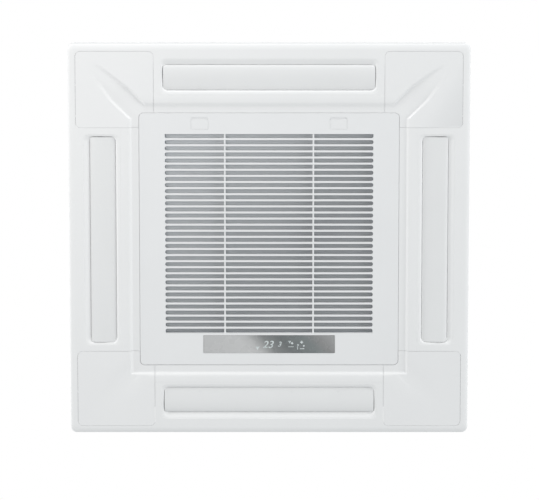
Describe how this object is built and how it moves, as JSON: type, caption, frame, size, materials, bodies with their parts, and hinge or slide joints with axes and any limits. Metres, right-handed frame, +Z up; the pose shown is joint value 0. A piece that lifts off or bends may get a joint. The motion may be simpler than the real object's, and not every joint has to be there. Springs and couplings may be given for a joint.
{
  "type": "ceiling cassette air conditioner",
  "caption": "Square ceiling-recessed cassette air conditioner with a hinged intake grille, perimeter louvres and a boxed body above holding turbo fan, coil and drain pump.",
  "frame": {"origin": "on the fan's axis, in the plane of the ceiling's underside that the panel rests against", "axes": "+Z up into the ceiling, +X to the right and -Y to the top of the picture, the display side at +Y"},
  "size_m": [0.95, 0.95, 0.2845],
  "materials": {
    "panel_plastic": "fine satin",
    "vane_plastic": "fine satin",
    "seal_foam": "soft closed-cell foam",
    "inner_foam": "beaded foam",
    "stepper_plastic": "satin",
    "grey_plastic": "satin",
    "inner_plastic": "satin",
    "smoked_window": "gloss, smoked",
    "board": "solder-resist green",
    "filter_plastic": "satin",
    "filter_mesh": "woven net",
    "zinc_sheet": "galvanised",
    "steel": "plain",
    "isolator_rubber": "matt",
    "fins": "thin fins",
    "copper_pipe": "bright copper",
    "brass_nut": "machined"
  },
  "bodies": {
    "unit": {"panel_frame": "panel_plastic", "corner_cover_1": "panel_plastic", "corner_cover_2": "panel_plastic", "corner_cover_3": "panel_plastic", "corner_cover_4": "panel_plastic", "panel_seal": "seal_foam", "foam_liner": "inner_foam", "drain_pan": "inner_foam", "vane_stepper_1": "stepper_plastic", "vane_stepper_2": "stepper_plastic", "vane_stepper_3": "stepper_plastic", "vane_stepper_4": "stepper_plastic", "vane_bush_1": "grey_plastic", "vane_bush_2": "grey_plastic", "vane_bush_3": "grey_plastic", "vane_bush_4": "grey_plastic", "drain_spigot": "grey_plastic", "terminal_block": "grey_plastic", "bell_mouth": "inner_plastic", "drain_pump": "inner_plastic", "circuit_board": "board", "cabinet_casing": "zinc_sheet", "hanger_1": "zinc_sheet", "hanger_2": "zinc_sheet", "hanger_3": "zinc_sheet", "hanger_4": "zinc_sheet", "pipe_plate": "zinc_sheet", "control_box": "zinc_sheet", "control_cover": "zinc_sheet", "fan_motor": "steel", "motor_isolator_1": "isolator_rubber", "motor_isolator_2": "isolator_rubber", "motor_isolator_3": "isolator_rubber", "coil_fins": "fins", "coil_return_end": "copper_pipe", "coil_header_end": "copper_pipe", "gas_pipe": "copper_pipe", "liquid_pipe": "copper_pipe", "gas_flare_nut": "brass_nut", "liquid_flare_nut": "brass_nut"},
    "fan": {"turbo_fan": "inner_plastic", "fan_shaft": "steel", "fan_nut": "steel"},
    "vane_right": {"vane_1": "vane_plastic"},
    "vane_near": {"vane_2": "vane_plastic"},
    "vane_left": {"vane_3": "vane_plastic"},
    "vane_far": {"vane_4": "vane_plastic"},
    "grille": {"intake_grille": "panel_plastic", "display_window": "smoked_window", "display_board": "board", "filter_frame": "filter_plastic", "filter_net": "filter_mesh"},
    "left_latch": {"latch_left": "panel_plastic"},
    "right_latch": {"latch_right": "panel_plastic"},
    "float": {"drain_float": "inner_plastic"}
  },
  "joints": [
    {"name": "fan_spin", "type": "hinge", "parent": "unit", "child": "fan", "pos_m": [0, 0, 0], "axis": [0, 0, 1], "continuous": true},
    {"name": "vane_right_tilt", "type": "hinge", "parent": "unit", "child": "vane_right", "pos_m": [0.3845, 0, -0.008], "axis": [0, 1, 0], "range_deg": [0, 50]},
    {"name": "vane_near_tilt", "type": "hinge", "parent": "unit", "child": "vane_near", "pos_m": [0, 0.3845, -0.008], "axis": [-1, 0, 0], "range_deg": [0, 50]},
    {"name": "vane_left_tilt", "type": "hinge", "parent": "unit", "child": "vane_left", "pos_m": [-0.3845, 0, -0.008], "axis": [0, -1, 0], "range_deg": [0, 50]},
    {"name": "vane_far_tilt", "type": "hinge", "parent": "unit", "child": "vane_far", "pos_m": [0, -0.3845, -0.008], "axis": [1, 0, 0], "range_deg": [0, 50]},
    {"name": "grille_hinge", "type": "hinge", "parent": "unit", "child": "grille", "pos_m": [0, 0.292, -0.0115], "axis": [1, 0, 0], "range_deg": [0, 90]},
    {"name": "left_latch_slide", "type": "slide", "parent": "grille", "child": "left_latch", "axis": [0, 1, 0], "range_m": [-0.004, 0]},
    {"name": "right_latch_slide", "type": "slide", "parent": "grille", "child": "right_latch", "axis": [0, 1, 0], "range_m": [-0.004, 0]},
    {"name": "float_rise", "type": "slide", "parent": "unit", "child": "float", "axis": [0, 0, 1], "range_m": [0, 0.012]}
  ]
}
